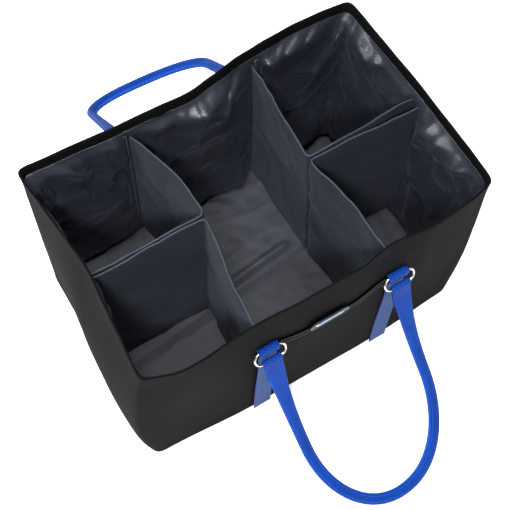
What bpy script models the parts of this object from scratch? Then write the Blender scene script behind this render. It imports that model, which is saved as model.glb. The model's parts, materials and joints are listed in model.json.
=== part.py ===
"""A soft open-top caddy: a lined fabric tote with five compartments and two webbing handles on rings.

Metres, +Z up, origin in the middle of the underside, +X along the long side, front wall towards -Y.
The handles are drawn as they lie at rest, splayed out from the front and rear walls.
"""

import math

import bmesh
import bpy
from mathutils import Matrix, Vector

# Driving dimensions of the bag
WIDTH = 0.450
BASE_DEPTH = 0.296
HEIGHT = 0.300
RIM_FRONT_Y = -0.162
RIM_REAR_Y = 0.1385
END_PULL = 0.008
MIDDLE_Y = -0.006

# Cloth and board thicknesses, and the gap between pieces that touch
SHELL = 0.0016
FACING = 0.0010
LINING = 0.0008
BASE = 0.0020
FLOOR_BOARD = 0.0030
DIVIDER_BOARD = 0.0020
COVER = 0.0006
GAP = 0.0003
HEM = 0.018

# Dividers
DIVIDER_WALL_X = 0.088
DIVIDER_MIDDLE_X = 0.068
DIVIDER_TOP = HEIGHT - 0.027
DIVIDER_FRONT_Y = -0.1440
DIVIDER_REAR_Y = 0.1345
CROSS_END_X = 0.2095

# Webbing, rings and handles
WEBBING = 0.0254
WEBBING_THICK = 0.0014
STRAP_MIDDLE = 0.0155
STRAP_SPREAD = 0.0895
RING_WIRE = 0.0015
RING_HALF_BAR = 0.0113
RING_DROP = 0.018
RING_BAR_Z = 0.206
RING_ANGLE = math.radians(-60)
LOOP_IN = RING_WIRE + GAP
LOOP_OUT = LOOP_IN + WEBBING_THICK
GRIP_WIDTH = 0.0142
GRIP_THICK = 0.0070
FLAT_END = 0.012
TAPER = 0.140

# Each handle: its side, its angles to the horizontal at the rings and at its far end, the length of its
# straight legs, the depth, squareness and lopsidedness of its bend
HANDLES = {
    "front": {
        "side": -1, "near": -70.4, "far": -20.0, "leg": 0.145, "bend": 0.118, "square": 0.95, "skew": -0.35
    },
    "rear": {
        "side": 1, "near": -39.9, "far": -39.4, "leg": 0.184, "bend": 0.054, "square": 0.82, "skew": -0.59
    },
}

# Front pocket and badge
POCKET_TOP = 0.207
BADGE_X = 0.0052
BADGE_Z = POCKET_TOP + 0.002
BADGE_HALF = 0.0265
BADGE_TALL = 0.0085

COLOURS = {
    "shell": ((0.016, 0.016, 0.018), 0.85, 0.0),
    "lining": ((0.045, 0.050, 0.062), 0.45, 0.0),
    "board": ((0.30, 0.27, 0.22), 0.8, 0.0),
    "webbing": ((0.010, 0.080, 0.520), 0.6, 0.0),
    "nickel": ((0.75, 0.74, 0.72), 0.25, 1.0),
    "badge": ((0.020, 0.022, 0.030), 0.4, 0.0),
    "badge_strip": ((0.42, 0.55, 0.75), 0.3, 0.6),
}


def clear_scene():
    for obj in list(bpy.data.objects):
        bpy.data.objects.remove(obj)


def make_collection(name, hidden=False):
    collection = bpy.data.collections.new(name)
    collection.hide_render = hidden
    bpy.context.scene.collection.children.link(collection)
    return collection


def make_material(name):
    colour, roughness, metallic = COLOURS[name]
    material = bpy.data.materials.get(name) or bpy.data.materials.new(name)
    material.use_nodes = True
    shader = material.node_tree.nodes["Principled BSDF"]
    shader.inputs["Base Color"].default_value = (*colour, 1)
    shader.inputs["Roughness"].default_value = roughness
    shader.inputs["Metallic"].default_value = metallic
    return material


def add_object(name, data, colour, collection):
    obj = bpy.data.objects.new(name, data)
    data.materials.append(make_material(colour))
    collection.objects.link(obj)
    return obj


def add_bmesh(name, bm, colour, collection):
    mesh = bpy.data.meshes.new(name)
    bm.to_mesh(mesh)
    bm.free()
    return add_object(name, mesh, colour, collection)


def box(name, low, high, colour):
    """A box between two opposite corners."""
    bm = bmesh.new()
    bmesh.ops.create_cube(bm, size=1)
    size = Vector(high) - Vector(low)
    bmesh.ops.scale(bm, vec=size, verts=bm.verts)
    obj = add_bmesh(name, bm, colour, parts)
    obj.location = (Vector(high) + Vector(low)) / 2
    return obj


def outline_mesh(name, loops, half_thick, colour, collection):
    """A flat outline (the first loop) with holes (the others), extruded both ways along its normal."""
    curve = bpy.data.curves.new(name, "CURVE")
    curve.dimensions = "2D"
    curve.fill_mode = "BOTH"
    curve.extrude = half_thick
    for loop in loops:
        spline = curve.splines.new("POLY")
        spline.points.add(len(loop) - 1)
        for point, (x, y) in zip(spline.points, loop):
            point.co = (x, y, 0, 1)
        spline.use_cyclic_u = True
    guide = bpy.data.objects.new(name + "_outline", curve)
    parts.objects.link(guide)
    graph = bpy.context.evaluated_depsgraph_get()
    mesh = bpy.data.meshes.new_from_object(guide.evaluated_get(graph))
    bpy.data.objects.remove(guide)
    bm = bmesh.new()
    bm.from_mesh(mesh)
    bmesh.ops.remove_doubles(bm, verts=bm.verts, dist=1e-6)
    bmesh.ops.recalc_face_normals(bm, faces=bm.faces)
    bpy.data.meshes.remove(mesh)
    return add_bmesh(name, bm, colour, collection)


def plate(name, loop, low, high, colour):
    """A level plate of the given outline between two heights."""
    obj = outline_mesh(name, [loop], (high - low) / 2, colour, parts)
    obj.location.z = (low + high) / 2
    return obj


def join_or_cut(obj, other, operation):
    modifier = obj.modifiers.new(operation.lower(), "BOOLEAN")
    modifier.operation = operation
    modifier.solver = "EXACT"
    modifier.object = other
    other.hide_render = True
    other.display_type = "WIRE"


# The bag's walls


def corner(side_x, side_y, z, inset):
    """A corner of the bag's outline at height z, moved inwards by inset."""
    up = z / HEIGHT
    rim_y = RIM_REAR_Y if side_y > 0 else RIM_FRONT_Y
    y = side_y * BASE_DEPTH / 2 * (1 - up) + rim_y * up
    return Vector((side_x * (WIDTH / 2 - inset), y - side_y * inset, z))


# The corners that each wall runs between, anticlockwise from above, which way it faces, and how far its
# middle is drawn in by the divider sewn to it
WALLS = {
    "front": ((-1, -1), (1, -1), Vector((0, -1, 0)), 0.0),
    "right": ((1, -1), (1, 1), Vector((1, 0, 0)), END_PULL),
    "rear": ((1, 1), (-1, 1), Vector((0, 1, 0)), 0.0),
    "left": ((-1, 1), (-1, -1), Vector((-1, 0, 0)), END_PULL),
}
COLUMNS = 3


def wall_point(side, column, z, inset):
    """A point of one wall's outer surface: column is 0 at its start, 1 in the middle and 2 at its end."""
    start, end, outward, pull = WALLS[side]
    flat = corner(*start, z, inset).lerp(corner(*end, z, inset), column / (COLUMNS - 1))
    return flat - outward * pull * (column == 1)


def outline_at(z, inset):
    """The bag's outline at one height, as six points in plan."""
    columns = [(side, column) for side in WALLS for column in ((0, 1) if WALLS[side][3] else (0,))]
    return [wall_point(side, column, z, inset).xy for side, column in columns]


def wall(name, side, inset, low, high, thickness, colour, trim=0.0):
    """A wall panel between two heights: an open sheet thickened inwards. trim shortens both of its ends."""
    bm = bmesh.new()
    bmesh.ops.create_grid(bm, x_segments=COLUMNS - 1, y_segments=1, size=1)
    for vert in bm.verts:
        column = round(vert.co.x + 1)
        z = high if vert.co.y > 0 else low
        vert.co = wall_point(side, column, z, inset)
        if column != 1:
            vert.co += (wall_point(side, 1, z, inset) - vert.co).normalized() * trim
    obj = add_bmesh(name, bm, colour, parts)
    solidify = obj.modifiers.new("thickness", "SOLIDIFY")
    solidify.thickness = thickness
    solidify.offset = -1
    solidify.use_even_offset = True
    return obj


def ring_wall(name, inset, low, high, thickness, colour):
    """A band that goes all the way round inside the walls, from an uncapped prism thickened inwards."""
    bm = bmesh.new()
    corners = len(outline_at(low, inset))
    bmesh.ops.create_cone(bm, cap_ends=False, segments=corners, radius1=1, radius2=1, depth=2)
    for vert in bm.verts:
        turn = math.atan2(vert.co.y, vert.co.x) / math.tau % 1
        index = int(turn * corners + 0.25) % corners
        z = high if vert.co.z > 0 else low
        vert.co = (*outline_at(z, inset)[index], z)
    obj = add_bmesh(name, bm, colour, parts)
    solidify = obj.modifiers.new("thickness", "SOLIDIFY")
    solidify.thickness = thickness
    solidify.offset = -1
    solidify.use_even_offset = True
    return obj


def make_shell():
    plate("bottom_panel", outline_at(0, 0), 0, BASE, "shell")
    for side in WALLS:
        end = side in ("left", "right")
        name = f"{side}_end_panel" if end else f"{side}_panel"
        trim = 0.0 if end else SHELL + GAP
        wall(name, side, 0.0, BASE + GAP, HEIGHT, SHELL, "shell", trim)


def make_lining():
    inset = SHELL + 2 * GAP
    ring_wall("rim_facing", inset, HEIGHT - HEM, HEIGHT - GAP, FACING, "shell")
    floor = BASE + GAP
    inner = inset + LINING + GAP
    plate("lining_floor", outline_at(floor, inner), floor, floor + LINING, "lining")
    for side in WALLS:
        trim = 0.0 if side in ("left", "right") else LINING + GAP
        wall(f"lining_{side}", side, inset, floor, HEIGHT - HEM - GAP, LINING, "lining", trim)


FLOOR_Z = BASE + GAP + LINING + GAP
CLOTH_INSET = SHELL + LINING + 4 * GAP + 0.001
INNER_X = WIDTH / 2 - END_PULL - CLOTH_INSET
INNER_Y = BASE_DEPTH / 2 - CLOTH_INSET
COVER_Z = FLOOR_Z + FLOOR_BOARD + GAP
DIVIDER_Z = COVER_Z + LINING + GAP


def make_floor():
    """Two stiff boards that meet under the seam of the cloth over them."""
    seam = 0.001
    top = FLOOR_Z + FLOOR_BOARD
    box("floor_board_front", (-INNER_X, -INNER_Y, FLOOR_Z), (INNER_X, MIDDLE_Y - seam, top), "board")
    box("floor_board_rear", (-INNER_X, MIDDLE_Y + seam, FLOOR_Z), (INNER_X, INNER_Y, top), "board")
    plate("floor_cover", outline_at(COVER_Z, CLOTH_INSET), COVER_Z, COVER_Z + LINING, "lining")


# The dividers: four L-shaped panels, two back to back on each side


def band_outline(points, half):
    """The outline of a band of the given half width along three points, mitred at the middle one."""
    start, bend, end = (Vector(p) for p in points)
    first, second = (bend - start).normalized(), (end - bend).normalized()
    across_first, across_second = Vector((-first.y, first.x)), Vector((-second.y, second.x))
    mitre = (across_first + across_second).normalized()
    mitre *= half / mitre.dot(across_first)
    left = [start + across_first * half, bend + mitre, end + across_second * half]
    right = [start - across_first * half, bend - mitre, end - across_second * half]
    return [tuple(p) for p in left + right[::-1]]


def shortened(points, by):
    start, bend, end = (Vector(p) for p in points)
    start += (bend - start).normalized() * by
    end += (bend - end).normalized() * by
    return [start, bend, end]


def upright_board(name, start, end):
    """A stiffening board standing on edge along a line in plan."""
    start, end = Vector(start), Vector(end)
    run = end - start
    low = DIVIDER_Z + GAP
    high = DIVIDER_TOP - COVER - GAP
    half = Vector((run.length / 2, DIVIDER_BOARD / 2))
    obj = box(name, (*-half, low), (*half, high), "board")
    obj.location.xy = (start + end) / 2
    obj.rotation_euler.z = math.atan2(run.y, run.x)


def make_divider(side, side_x, end_name, side_y):
    """One L-shaped divider: a cloth sleeve, open below, with a board in each of its two legs."""
    sleeve_half = DIVIDER_BOARD / 2 + GAP + COVER
    back = side_y * (sleeve_half + GAP / 2)
    wall_y = DIVIDER_REAR_Y if side_y > 0 else DIVIDER_FRONT_Y
    route = [
        (side_x * DIVIDER_WALL_X, wall_y),
        (side_x * DIVIDER_MIDDLE_X, MIDDLE_Y + back),
        (side_x * CROSS_END_X, MIDDLE_Y + back),
    ]
    name = f"{side}_{end_name}"
    tall = DIVIDER_TOP - DIVIDER_Z
    plan = band_outline(route, sleeve_half)
    sleeve = outline_mesh(f"{name}_divider_cover", [plan], tall / 2, "lining", parts)
    sleeve.location.z = DIVIDER_Z + tall / 2
    pocket_route = shortened(route, COVER)
    pocket = outline_mesh(
        f"{name}_pocket", [band_outline(pocket_route, sleeve_half - COVER)], tall / 2, "lining", cutters
    )
    pocket.location.z = DIVIDER_Z + tall / 2 - COVER
    join_or_cut(sleeve, pocket, "DIFFERENCE")
    start, bend, end = (Vector(p) for p in shortened(pocket_route, GAP))
    corner_room = 0.004
    upright_board(f"{name}_divider_board", start, bend - (bend - start).normalized() * corner_room)
    upright_board(f"{name}_cross_board", bend + (end - bend).normalized() * corner_room, end)


# Straps, rings and handles


def lean_of(side):
    """The lean of the front or rear wall from the vertical, as an angle about +X."""
    if side == "front":
        return math.atan2(-RIM_FRONT_Y - BASE_DEPTH / 2, HEIGHT)
    return math.atan2(BASE_DEPTH / 2 - RIM_REAR_Y, HEIGHT)


def outer_y(side, z):
    """The outer face of the front or rear wall behind the straps."""
    up = z / HEIGHT
    if side == "front":
        return -BASE_DEPTH / 2 * (1 - up) + RIM_FRONT_Y * up
    return BASE_DEPTH / 2 * (1 - up) + RIM_REAR_Y * up


def upper_bar(side, x):
    """The middle of a ring's upper bar, in its strap's loop."""
    out = HANDLES[side]["side"]
    return Vector((x, outer_y(side, RING_BAR_Z) + out * (GAP + LOOP_OUT), RING_BAR_Z))


def lower_bar(side, x):
    """The middle of a ring's lower bar, which the handle hangs on."""
    out = HANDLES[side]["side"]
    swing = Vector((0, out * math.cos(RING_ANGLE), math.sin(RING_ANGLE)))
    return upper_bar(side, x) + swing * RING_DROP


def circle(radius, steps=16):
    angles = [math.tau * i / steps for i in range(steps)]
    return [(radius * math.cos(angle), radius * math.sin(angle)) for angle in angles]


def webbing_loop(name, centre, collection):
    """A sewn loop of webbing round a bar that runs along X."""
    loop = outline_mesh(name, [circle(LOOP_OUT), circle(LOOP_IN)], WEBBING / 2, "webbing", collection)
    loop.matrix_world = Matrix.Translation(centre) @ Matrix.Rotation(math.pi / 2, 4, "Y")
    return loop


def make_strap(side, hand, x):
    """A strap sewn up the wall from the base, which ends in the loop that holds a ring."""
    out = HANDLES[side]["side"]
    bar = upper_bar(side, x)
    bottom = 0.003
    lean = lean_of(side)
    half_length = (bar.z - bottom) / math.cos(lean) / 2
    half = Vector((WEBBING / 2, WEBBING_THICK / 2, half_length))
    strap = box(f"{side}_{hand}_strap", -half, half, "webbing")
    turned = Matrix.Rotation(lean, 3, "X")
    foot = Vector((x, outer_y(side, bottom) + out * GAP / math.cos(lean), bottom))
    strap.location = foot + turned @ Vector((0, out * half.y, half.z))
    strap.rotation_euler.x = lean
    loop = webbing_loop(f"{side}_{hand}_strap_loop", bar, cutters)
    join_or_cut(strap, loop, "UNION")


def make_ring(side, hand, x):
    """An oval ring of round wire: two straight bars joined by half circles."""
    upper = upper_bar(side, x)
    swing = (lower_bar(side, x) - upper).normalized()
    end_radius = RING_DROP / 2
    turns = 8
    arc = [math.pi * i / turns - math.pi / 2 for i in range(turns + 1)]
    right = [(RING_HALF_BAR + end_radius * math.cos(a), end_radius * math.sin(a)) for a in arc]
    left = [(-px, -py) for px, py in right]
    curve = bpy.data.curves.new(f"{side}_{hand}_ring", "CURVE")
    curve.dimensions = "3D"
    curve.bevel_depth = RING_WIRE
    curve.bevel_resolution = 2
    spline = curve.splines.new("POLY")
    spline.points.add(len(right + left) - 1)
    for point, (across, along) in zip(spline.points, right + left):
        point.co = (across, *(swing * (along + end_radius)).yz, 1)
    spline.use_cyclic_u = True
    ring = add_object(f"{side}_{hand}_ring", curve, "nickel", parts)
    ring.location = upper


def handle_route(side, steps=28):
    """The handle's centre line in its own plane: x across, and out from the rings' lower bars."""
    shape = HANDLES[side]
    legs = 5
    points = [(-STRAP_SPREAD, shape["leg"] * i / legs) for i in range(legs)]
    for i in range(steps + 1):
        turn = math.pi * i / steps
        across = -math.copysign(abs(math.cos(turn)) ** shape["square"], math.cos(turn)) * STRAP_SPREAD
        points.append((across, shape["leg"] + shape["bend"] * math.sin(turn) ** shape["square"]))
    points += [(STRAP_SPREAD, shape["leg"] * i / legs) for i in reversed(range(legs))]
    return [Vector((across, out * (1 + shape["skew"] * across))) for across, out in points]


def droop(side, out):
    """Where the handle's middle lies a given distance out from the rings, and its direction there."""
    shape = HANDLES[side]
    near, far = math.radians(shape["near"]), math.radians(shape["far"])
    turn = (far - near) / (shape["leg"] + shape["bend"])
    angle = near + turn * out
    out_by, up_by = math.sin(angle) - math.sin(near), math.cos(near) - math.cos(angle)
    direction = Vector((0, shape["side"] * math.cos(angle), math.sin(angle)))
    return Vector((0, shape["side"] * out_by, up_by)) / turn, direction


def lengths_along(points):
    total = [0.0]
    for a, b in zip(points, points[1:]):
        total.append(total[-1] + (b - a).length)
    return total


def webbing_section(along, total):
    """Half width and half thickness of the handle: flat doubled webbing that folds round into a grip."""
    from_end = min(along, total - along)
    flat = 1 - min(max((from_end - FLAT_END) / TAPER, 0), 1)
    share = 1 - flat ** 2.2
    flat_width = WEBBING - GAP
    width = flat_width + (GRIP_WIDTH - flat_width) * share
    thick = 2 * WEBBING_THICK + (GRIP_THICK - 2 * WEBBING_THICK) * share
    return width / 2, thick / 2


# A flattened octagon, as shares of the half width and half thickness
SECTION = ((-1, 0.5), (-0.8, 1), (0.8, 1), (1, 0.5), (1, -0.5), (0.8, -1), (-0.8, -1), (-1, -0.5))


def loft(sections):
    """A closed skin through sections that all have the same number of points."""
    bm = bmesh.new()
    rings = [[bm.verts.new(point) for point in section] for section in sections]
    for first, second in zip(rings, rings[1:]):
        for i in range(len(first)):
            j = (i + 1) % len(first)
            bm.faces.new((first[i], first[j], second[j], second[i]))
    bm.faces.new(rings[0])
    bm.faces.new(rings[-1])
    bmesh.ops.recalc_face_normals(bm, faces=bm.faces)
    return bm


def make_handle(side):
    """One handle: a strip lofted along its route, with a loop round the lower bar of a ring at each end."""
    hinge = lower_bar(side, STRAP_MIDDLE)
    route = handle_route(side)
    route[0].y = route[-1].y = (LOOP_IN + LOOP_OUT) / 2
    along = lengths_along(route)
    sections = []
    for i, point in enumerate(route):
        before, after = route[max(i - 1, 0)], route[min(i + 1, len(route) - 1)]
        run = (after - before).normalized()
        place, outward = droop(side, point.y)
        place.x = point.x
        across = Vector((run.y, 0, 0)) - outward * run.x
        normal = Vector((1, 0, 0)).cross(outward)
        half_width, half_thick = webbing_section(along[i], along[-1])
        sections.append([place + across * (w * half_width) + normal * (t * half_thick) for w, t in SECTION])
    bm = loft(sections)
    handle = add_bmesh(f"{side}_handle", bm, "webbing", parts)
    handle.location = hinge
    for hand, sign in (("left", -1), ("right", 1)):
        centre = hinge + Vector((sign * STRAP_SPREAD, 0, 0))
        loop = webbing_loop(f"{side}_handle_{hand}_loop", centre, cutters)
        join_or_cut(handle, loop, "UNION")


# Front pocket and badge


def on_front(obj, z):
    """Turns a flat piece drawn in X and Y to lie on the front wall, facing out, and seats it at height z."""
    obj.rotation_euler.x = math.pi / 2 + lean_of("front")
    obj.location.z = z
    obj.location.y = outer_y("front", z)


def make_pocket():
    """A slip pocket between the front straps, open along its top."""
    half = STRAP_SPREAD - WEBBING / 2 - GAP
    low = 0.006
    tall = POCKET_TOP - low
    loop = [(-half, -tall / 2), (half, -tall / 2), (half, tall / 2), (-half, tall / 2)]
    pocket = outline_mesh("front_pocket_panel", [loop], LINING / 2, "shell", parts)
    on_front(pocket, low + tall / 2)
    pocket.location.x = STRAP_MIDDLE
    pocket.location.y -= GAP + LINING / 2


def stadium(half_length, half_height, steps=8):
    """A bar outline with round ends."""
    straight = half_length - half_height
    arc = [math.pi * i / steps - math.pi / 2 for i in range(steps + 1)]
    right = [(straight + half_height * math.cos(a), half_height * math.sin(a)) for a in arc]
    return right + [(-x, -y) for x, y in right]


def make_badge():
    plate_thick = 0.0016
    strip_thick = 0.0006
    seat = GAP + LINING + GAP
    plate = outline_mesh("badge_plate", [stadium(BADGE_HALF, BADGE_TALL)], plate_thick / 2, "badge", parts)
    on_front(plate, BADGE_Z)
    plate.location.x = BADGE_X
    plate.location.y -= seat + plate_thick / 2
    strip = outline_mesh(
        "badge_strip", [stadium(BADGE_HALF * 0.78, BADGE_TALL * 0.42)], strip_thick / 2, "badge_strip", parts
    )
    on_front(strip, BADGE_Z)
    strip.location.x = BADGE_X
    strip.location.y -= seat + plate_thick + GAP + strip_thick / 2


clear_scene()
parts = make_collection("cleaning_caddy")
cutters = make_collection("cutters", hidden=True)

make_shell()
make_lining()
make_floor()
for divider_side, divider_x in (("left", -1), ("right", 1)):
    for divider_end, divider_y in (("front", -1), ("rear", 1)):
        make_divider(divider_side, divider_x, divider_end, divider_y)
for wall_side in HANDLES:
    for strap_hand, strap_sign in (("left", -1), ("right", 1)):
        strap_x = STRAP_MIDDLE + strap_sign * STRAP_SPREAD
        make_strap(wall_side, strap_hand, strap_x)
        make_ring(wall_side, strap_hand, strap_x)
    make_handle(wall_side)
make_pocket()
make_badge()
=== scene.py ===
"""The looks of a soft divided caddy tote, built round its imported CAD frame.

Metres, +Z up, front wall towards -Y. Cloth pieces are grids whose map "cloth" is in metres along the cloth.
"""

import json
import math

import bpy
import numpy as np
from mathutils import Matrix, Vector, noise


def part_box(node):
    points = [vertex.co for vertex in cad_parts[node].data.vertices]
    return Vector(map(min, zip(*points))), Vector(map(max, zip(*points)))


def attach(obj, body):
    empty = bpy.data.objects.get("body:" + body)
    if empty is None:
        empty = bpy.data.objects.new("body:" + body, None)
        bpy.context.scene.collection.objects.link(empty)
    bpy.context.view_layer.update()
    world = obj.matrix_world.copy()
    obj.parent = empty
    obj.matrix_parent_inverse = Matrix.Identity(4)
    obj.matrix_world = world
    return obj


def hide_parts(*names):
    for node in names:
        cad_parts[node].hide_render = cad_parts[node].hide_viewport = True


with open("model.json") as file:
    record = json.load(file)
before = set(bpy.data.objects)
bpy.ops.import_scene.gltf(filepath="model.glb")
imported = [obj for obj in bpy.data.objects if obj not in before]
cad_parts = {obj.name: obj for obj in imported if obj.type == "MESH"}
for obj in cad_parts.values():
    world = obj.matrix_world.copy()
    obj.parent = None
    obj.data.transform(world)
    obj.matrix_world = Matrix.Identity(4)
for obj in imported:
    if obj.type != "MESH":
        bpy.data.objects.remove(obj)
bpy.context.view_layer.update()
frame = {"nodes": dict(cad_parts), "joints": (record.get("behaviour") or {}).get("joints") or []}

# Sizes read from the frame
base_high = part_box("bottom_panel")[1]
rim_low, rim_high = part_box("front_panel")[0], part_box("rear_panel")[1]
HALF_WIDTH = base_high.x
BASE_Y = base_high.y
HEIGHT = rim_high.z
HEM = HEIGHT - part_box("rim_facing")[0].z
FLOOR_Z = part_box("floor_cover")[1].z
DIVIDER_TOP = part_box("left_front_divider_cover")[1].z
MIDDLE_Y = (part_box("left_front_divider_cover")[1].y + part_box("left_rear_divider_cover")[0].y) / 2
STRAP_X = {hand: sum(c.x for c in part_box(f"front_{hand}_strap")) / 2 for hand in ("left", "right")}
STRAP_MIDDLE = (STRAP_X["left"] + STRAP_X["right"]) / 2

# Cloth and webbing
WEBBING = 0.0254
WEBBING_THICK = 0.0014
RIB, CORD = 0.0032, 0.0030
SHELL_THICK = 0.0015
POCKET_THICK = 0.0010
LINING_THICK = 0.0006
LINING_INSET = 0.0034
SHELL_CELL = 0.006
LINING_CELL = 0.0045
DIVIDER_X = 0.088

# How far each wall's rim stands out from the line between its corners, at places along the wall
FRONT_CORNER_Y = -0.1525
REAR_CORNER_Y = 0.1430
FRONT_BOW = [(-0.225, 0.0), (-0.175, 0.013), (-0.088, 0.008), (-0.02, 0.0115), (0.04, 0.011), (0.088, 0.0045),
             (0.14, 0.0105), (0.19, 0.007), (0.225, 0.0)]
REAR_BOW = [(-0.225, -0.001), (-0.17, -0.0045), (-0.10, -0.0085), (-0.055, -0.0095), (-0.0075, -0.0130),
            (0.034, -0.0055), (0.075, 0.0015), (0.11, 0.004), (0.146, 0.0065), (0.185, 0.005), (0.225, 0.001)]
FRONT_FOOT = [(-0.225, 0.001), (-0.08, 0.0095), (0.09, 0.0115), (0.225, 0.0055)]

# Each end wall: how far its rim is drawn in where the cross divider is sewn, how far it swells lower down at
# its front and rear, and how much further out its foot and its rim are
END_PULL = {-1: 0.014, 1: -0.003}
END_SWELL = {-1: (0.027, 0.000), 1: (0.019, 0.005)}
END_FOOT = {-1: 0.005, 1: -0.006}
END_RIM = {-1: 0.001, 1: 0.005}

# Near a strap the wall keeps this far inside the ring's upper bar, over a width and height about a middle
# that lies a little below the bar
BAR_GAP = 0.0040
DENT_WIDE, DENT_HIGH, DENT_BELOW = 0.030, 0.045, 0.012


def smooth_steps(knots, x):
    """A smooth curve through (place, value) knots, level at each of them."""
    places, values = (np.array(column, float) for column in zip(*knots))
    x = np.clip(np.asarray(x, float), places[0], places[-1])
    i = np.clip(np.searchsorted(places, x, side="right") - 1, 0, len(places) - 2)
    t = (x - places[i]) / (places[i + 1] - places[i])
    t = t * t * (3 - 2 * t)
    return values[i] * (1 - t) + values[i + 1] * t


def ramp(low, high, x):
    t = np.clip((np.asarray(x, float) - low) / (high - low), 0, 1)
    return t * t * (3 - 2 * t)


# Lines and points


def lengths_along(points):
    """The distance along a polyline to each of its points."""
    return np.concatenate([[0], np.cumsum(np.linalg.norm(np.diff(points, axis=0), axis=1))])


def lengths_round(loop):
    """The distance along a closed line to each of its points and back to the first."""
    return lengths_along(np.concatenate([loop, loop[:1]]))


def resampled(points, step):
    """A polyline with a point every step or so."""
    points = np.asarray(points, float)
    total = lengths_along(points)
    places = np.linspace(0, total[-1], max(2, round(total[-1] / step) + 1))
    return np.stack([np.interp(places, total, points[:, k]) for k in range(points.shape[1])], 1)


def eased(points, rounds):
    """A polyline with its inner points smoothed."""
    points = points.copy()
    for _ in range(rounds):
        points[1:-1] = (points[:-2] + 2 * points[1:-1] + points[2:]) / 4
    return points


def bumps(points, scale, seed=0.0):
    """Smooth noise from -1 to 1 at each point, with features about scale metres across."""
    flat = np.asarray(points, float).reshape(-1, 3) / scale + seed
    values = np.array([noise.noise(Vector(p)) for p in flat])
    return values.reshape(np.asarray(points).shape[:-1])


def unit(vectors):
    return vectors / np.linalg.norm(vectors, axis=-1, keepdims=True)


def outward_of(points):
    """The level direction from the bag's middle to each point."""
    return unit(points[..., :2])


# The bag's outline

OUT = {"front": -1, "rear": 1}


def hinge_lines(end):
    """The middle of the upper and lower bars of a side's rings, in y and z, from the joints."""
    places = {j["name"]: j["pos_m"] for j in frame["joints"]}
    return places[f"{end}_right_ring_swing"][1:], places[f"{end}_handle_swing"][1:]


def long_wall_y(side, x, z, inset=0.0):
    """The front or rear wall's y at x and height z, moved inwards by inset and drawn in at the straps."""
    x, z = np.asarray(x, float), np.asarray(z, float)
    up = z / HEIGHT
    rise = ramp(0.2, 1.0, up)
    belly = np.sin(math.pi * np.clip(up, 0, 1)) * np.cos(math.pi * x / HALF_WIDTH / 2)
    if side == "front":
        wall = BASE_Y * (1 - up) - FRONT_CORNER_Y * up + smooth_steps(FRONT_FOOT, x) * (1 - up) ** 1.3
        wall = wall + smooth_steps(FRONT_BOW, x) * rise + 0.003 * belly
    else:
        wall = BASE_Y * (1 - up) + REAR_CORNER_Y * up + smooth_steps(REAR_BOW, x) * rise - 0.004 * belly
    bar_y, bar_z = hinge_lines(side)[0]
    for strap_x in STRAP_X.values():
        across, above = (x - strap_x) / DENT_WIDE, (z - bar_z + DENT_BELOW) / DENT_HIGH
        near = np.exp(-across ** 2 - above ** 2)
        wall = wall + np.minimum(abs(bar_y) - BAR_GAP - wall, 0) * near
    return OUT[side] * (wall - inset)


def end_wall_x(sign, y, z, inset=0.0):
    """The left (-1) or right (1) wall's x at y and height z, drawn in at the rim by the cross divider."""
    up = np.clip(np.asarray(z, float) / HEIGHT, 0, 1)
    share = np.clip(1 - np.abs(y - MIDDLE_Y) / (BASE_Y + 0.006), 0, 1)
    pull = END_PULL[sign] * ramp(0.45, 1.0, up) * share
    at_front, at_rear = END_SWELL[sign]
    swell = at_front + (at_rear - at_front) * ramp(-BASE_Y, BASE_Y, y)
    belly = swell * np.sin(math.pi * up ** 0.8) * (0.45 + 0.55 * share ** 0.5)
    return sign * (HALF_WIDTH - pull + belly + END_FOOT[sign] * (1 - up) + END_RIM[sign] * up - inset)


def loop_rows(heights, inset, corner_rounds, cell=SHELL_CELL):
    """Rings of points round the bag, one for each height, and each column's distance along the ring."""
    long_cells, short_cells = round(2 * HALF_WIDTH / cell), round(2 * BASE_Y / cell)
    rows = []
    for z, ring_inset in zip(heights, np.broadcast_to(inset, len(heights))):
        front_y = [float(long_wall_y("front", sign * HALF_WIDTH, z, ring_inset)) for sign in (-1, 1)]
        rear_y = [float(long_wall_y("rear", sign * HALF_WIDTH, z, ring_inset)) for sign in (-1, 1)]
        left_x, right_x = (
            [float(end_wall_x(sign, y, z, ring_inset)) for y in (-BASE_Y, BASE_Y)] for sign in (-1, 1)
        )
        x = np.linspace(left_x[0], right_x[0], long_cells, endpoint=False)
        front = np.stack([x, long_wall_y("front", x, z, ring_inset)], 1)
        y = np.linspace(front_y[1], rear_y[1], short_cells, endpoint=False)
        right = np.stack([end_wall_x(1, y, z, ring_inset), y], 1)
        x = np.linspace(right_x[1], left_x[1], long_cells, endpoint=False)
        rear = np.stack([x, long_wall_y("rear", x, z, ring_inset)], 1)
        y = np.linspace(rear_y[0], front_y[0], short_cells, endpoint=False)
        left = np.stack([end_wall_x(-1, y, z, ring_inset), y], 1)
        ring = np.concatenate([front, right, rear, left])
        for _ in range(corner_rounds):
            ring = (np.roll(ring, 1, 0) + 2 * ring + np.roll(ring, -1, 0)) / 4
        rows.append(np.column_stack([ring, np.full(len(ring), z)]))
    points = np.array(rows)
    return points, lengths_round(points[-1])


# Meshes


def new_object(name, points, faces, corners=None):
    """A smooth mesh in the scene, with the map "cloth" from its faces' corners where they are given."""
    mesh = bpy.data.meshes.new(name)
    mesh.from_pydata(np.reshape(points, (-1, 3)).tolist(), [], faces)
    if corners:
        mesh.uv_layers.new(name="cloth").data.foreach_set("uv", np.array(corners, np.float32).ravel())
    mesh.shade_smooth()
    obj = bpy.data.objects.new(name, mesh)
    bpy.context.scene.collection.objects.link(obj)
    return obj


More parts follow.
